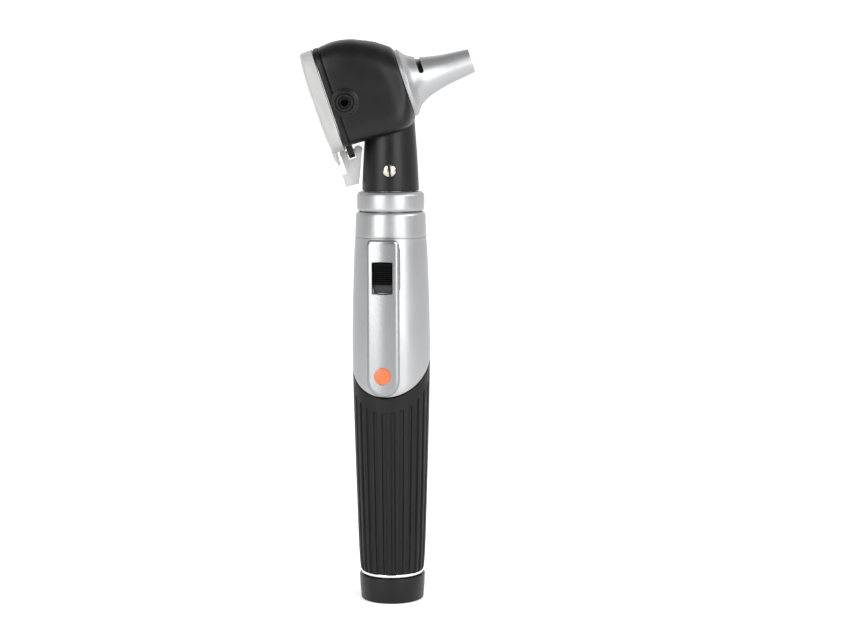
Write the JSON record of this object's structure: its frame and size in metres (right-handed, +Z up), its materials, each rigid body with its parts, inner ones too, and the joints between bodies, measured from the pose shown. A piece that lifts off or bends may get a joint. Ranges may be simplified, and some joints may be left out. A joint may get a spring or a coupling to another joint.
{
  "type": "otoscope",
  "caption": "Pocket otoscope: tilted fibre-optic head with swivelling magnifier and ear cone, on a fluted battery handle with pocket clip and slide switch.",
  "frame": {"origin": "centre of the base cap's flat underside, on the handle's axis", "axes": "+Z up the handle; the optical axis lies in the XZ plane, 18.4 degrees above +X; the clip and the port are on the -Y side"},
  "size_m": [0.0552, 0.0282, 0.1805],
  "materials": {
    "satin_silver": "satin lacquered silver",
    "clip_silver": "satin lacquered silver",
    "black_plastic": "fine matt texture",
    "grip_black": "fine matt texture with flutes",
    "switch_black": "ribbed matt",
    "clear_plastic": "clear, slightly frosted",
    "chrome": "polished",
    "nickel": "bright nickel plate",
    "brass": "bare",
    "spring_steel": "drawn wire and strip",
    "seal_rubber": "matt",
    "insulator": "plain",
    "battery_wrap": "printed film with no text",
    "fibre": "sheathed glass fibre",
    "lamp_glass": "clear",
    "orange": "plain enamel"
  },
  "bodies": {
    "handle": {"battery_tube": "brass", "base_ring": "chrome", "lower_grip": "grip_black", "upper_shell": "satin_silver", "top_collar": "satin_silver", "lower_battery": "battery_wrap", "upper_battery": "battery_wrap", "contact_insulator": "insulator", "contact_spring": "spring_steel", "handle_socket": "brass", "clip_bracket": "spring_steel", "clip_pivot_pin": "nickel", "clip_spring": "spring_steel", "switch_base": "switch_black", "switch_contact": "brass"},
    "contact_plunger": {"centre_contact": "brass"},
    "cap_carrier": {"cap_spring": "spring_steel", "cap_o_ring": "seal_rubber"},
    "cap": {"base_cap": "black_plastic", "cap_contact": "brass"},
    "head": {"connector_insert": "satin_silver", "neck_screw": "nickel", "lamp_base": "nickel", "lamp_insulator": "insulator", "lamp_contact": "brass", "lamp_bulb": "lamp_glass", "fibre_bundle": "fibre", "head_housing": "black_plastic", "rear_bezel": "black_plastic", "window_seal": "seal_rubber", "window_pivot_pin": "nickel", "insufflation_port": "black_plastic", "speculum_cone": "satin_silver", "cone_seal": "seal_rubber", "fibre_sleeve": "black_plastic"},
    "window": {"window_frame": "clear_plastic", "magnifier_lens": "clear_plastic"},
    "clip": {"clip_plate": "clip_silver", "orange_badge": "orange"},
    "switch": {"switch_slider": "switch_black"}
  },
  "joints": [
    {"name": "cap_travel", "type": "slide", "parent": "handle", "child": "cap_carrier", "axis": [0, 0, -1], "range_m": [0, 0.003]},
    {"name": "cap_turn", "type": "hinge", "parent": "cap_carrier", "child": "cap", "pos_m": [0, 0, 0], "axis": [0, 0, -1], "range_deg": [0, 1080]},
    {"name": "head_turn", "type": "hinge", "parent": "handle", "child": "head", "pos_m": [0, 0, 0.126], "axis": [0, 0, 1], "range_deg": [0, 90]},
    {"name": "window_swivel", "type": "hinge", "parent": "head", "child": "window", "pos_m": [-0.01254, 0, 0.14502], "axis": [0.9489, 0, 0.3156], "range_deg": [-90, 90]},
    {"name": "clip_open", "type": "hinge", "parent": "handle", "child": "clip", "pos_m": [-0.00202, -0.01183, 0.1145], "axis": [-0.9857, 0.1685, 0], "range_deg": [0, 8], "stiffness_Nm_per_rad": 0.3, "springref_deg": -5.73},
    {"name": "switch_slide", "type": "slide", "parent": "handle", "child": "switch", "axis": [0, 0, -1], "range_m": [0, 0.0025]},
    {"name": "contact_plunge", "type": "slide", "parent": "handle", "child": "contact_plunger", "axis": [0, 0, -1], "range_m": [0, 0.0008], "stiffness_N_per_m": 600, "springref_m": -0.0005, "deforming": ["contact_spring"]}
  ],
  "couplings": [
    {"joint": "cap_travel", "follows": "cap_turn", "m_per_rad": 0.000159}
  ]
}
